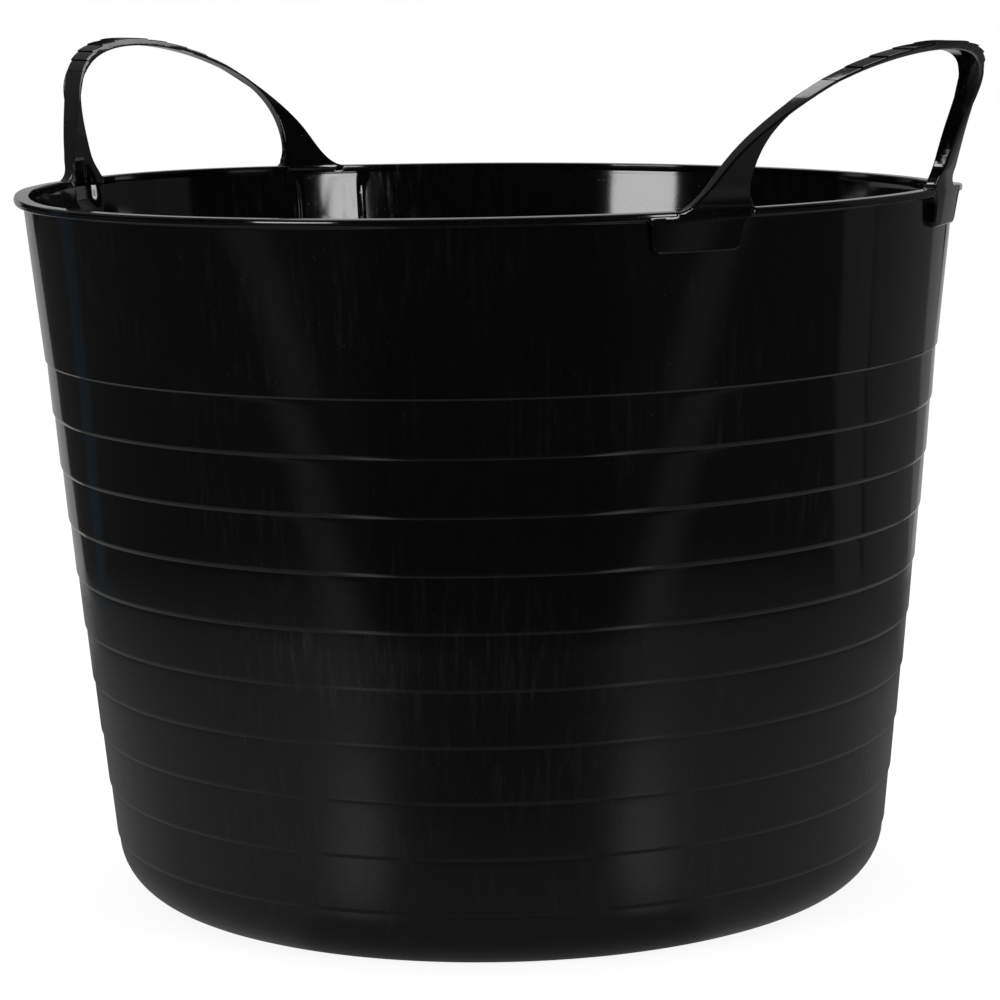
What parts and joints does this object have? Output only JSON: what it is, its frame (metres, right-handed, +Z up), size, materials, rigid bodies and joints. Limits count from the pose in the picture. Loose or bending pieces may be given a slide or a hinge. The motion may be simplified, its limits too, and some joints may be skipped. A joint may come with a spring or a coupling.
{
  "type": "mortar mixing tub",
  "caption": "Round tapered flexible tub with a stepped wall, a rolled lip and two arched flexing carrying handles, for mixing mortar.",
  "frame": {"origin": "centre of the base, on the surface that the tub stands on", "axes": "+Z up, +X towards the right handle, -Y to the front"},
  "size_m": [0.5452, 0.4502, 0.4064],
  "materials": {
    "glossy_polythene": "glossy black moulded polythene with fine scuffs",
    "matte_polythene": "satin black moulded polythene with a fine grain"
  },
  "bodies": {
    "tub": {"tub_floor": "matte_polythene", "base_corner": "matte_polythene", "stepped_wall": "matte_polythene", "upper_wall": "glossy_polythene", "rim_lip": "glossy_polythene", "right_front_lug": "glossy_polythene", "right_front_leg_root": "glossy_polythene", "right_front_flexure": "glossy_polythene", "right_back_lug": "glossy_polythene", "right_back_leg_root": "glossy_polythene", "right_back_flexure": "glossy_polythene", "left_front_lug": "glossy_polythene", "left_front_leg_root": "glossy_polythene", "left_front_flexure": "glossy_polythene", "left_back_lug": "glossy_polythene", "left_back_leg_root": "glossy_polythene", "left_back_flexure": "glossy_polythene"},
    "right_handle": {"right_front_leg": "glossy_polythene", "right_back_leg": "glossy_polythene", "right_grip": "glossy_polythene"},
    "left_handle": {"left_front_leg": "glossy_polythene", "left_back_leg": "glossy_polythene", "left_grip": "glossy_polythene"}
  },
  "joints": [
    {"name": "right_handle_flex", "type": "hinge", "parent": "tub", "child": "right_handle", "pos_m": [0.2175, 0, 0.354], "axis": [0, -1, 0], "range_deg": [-35, 75], "stiffness_Nm_per_rad": 1.5, "deforming": ["right_front_flexure", "right_back_flexure"]},
    {"name": "left_handle_flex", "type": "hinge", "parent": "tub", "child": "left_handle", "pos_m": [-0.2175, 0, 0.354], "axis": [0, 1, 0], "range_deg": [-35, 75], "stiffness_Nm_per_rad": 1.5, "deforming": ["left_front_flexure", "left_back_flexure"]}
  ]
}
